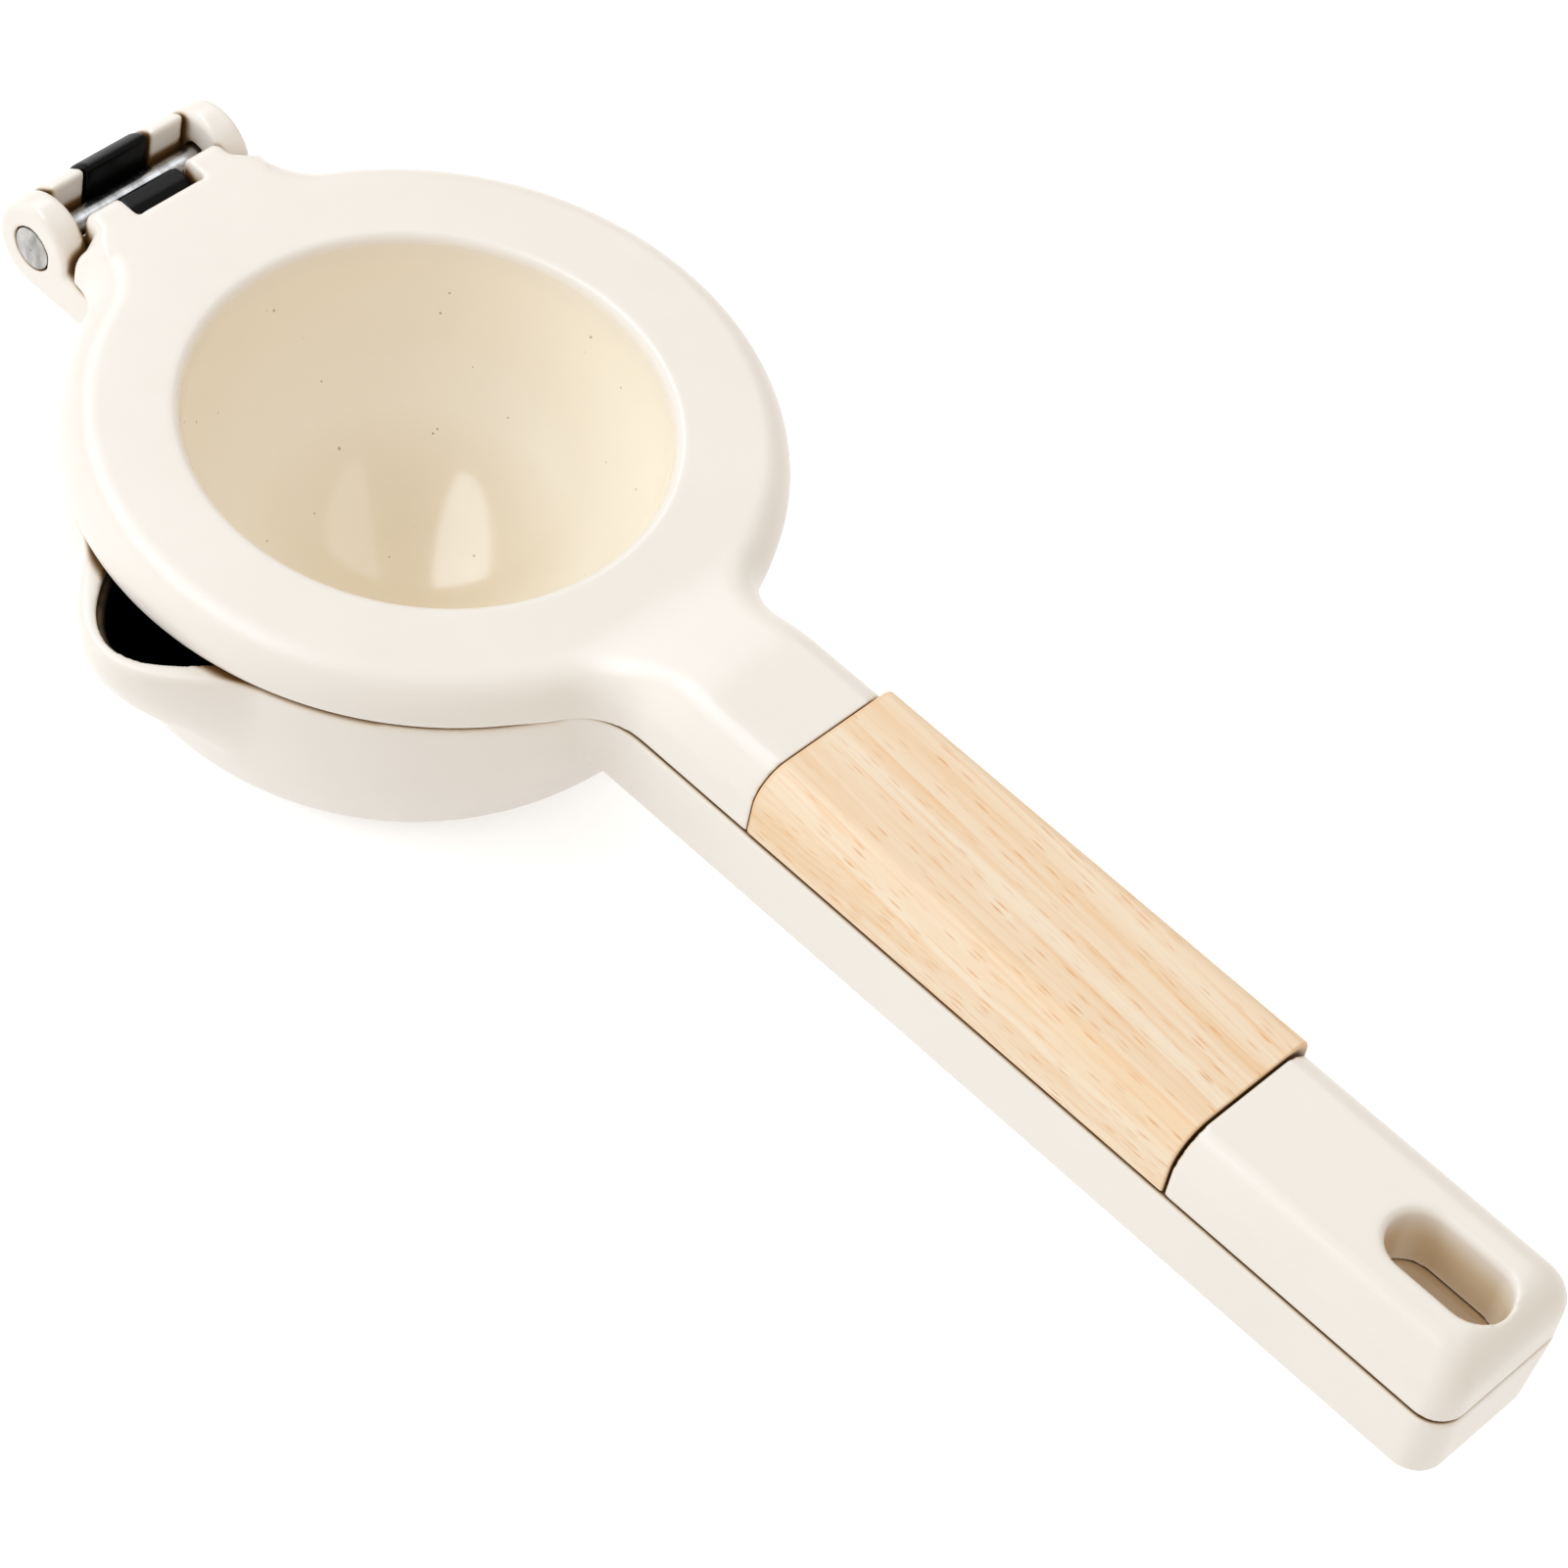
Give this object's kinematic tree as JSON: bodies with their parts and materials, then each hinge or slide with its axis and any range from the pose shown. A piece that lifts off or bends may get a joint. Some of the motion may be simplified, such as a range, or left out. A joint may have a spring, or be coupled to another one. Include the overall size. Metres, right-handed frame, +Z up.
{
  "type": "hand citrus juicer",
  "caption": "Two-arm hand press for citrus: a punch bowl closes into a cup with a strainer and a spout, on a pin hinge, with a wooden grip.",
  "frame": {"origin": "on the cup's flat base, below the middle of the ring", "axes": "+X along the handle to its tip, +Z up through the ring, the pouring spout points to -Y"},
  "size_m": [0.2234, 0.0919, 0.0434],
  "materials": {
    "cream_enamel": "smooth satin coating on cast aluminium",
    "beech": "sanded and oiled beech, grain along the handle",
    "steel": "turned steel",
    "black_plastic": "satin moulded plastic"
  },
  "bodies": {
    "lower_body": {"lower_arm": "cream_enamel", "hinge_pin": "steel", "strainer": "black_plastic"},
    "upper_body": {"upper_arm": "cream_enamel", "wood_grip": "beech", "hinge_clip": "black_plastic", "grip_screw_front": "steel", "grip_screw_rear": "steel"}
  },
  "joints": [
    {"name": "hinge", "type": "hinge", "parent": "lower_body", "child": "upper_body", "pos_m": [-0.0519, 0, 0.034], "axis": [0, -1, 0], "range_deg": [0, 150]}
  ]
}
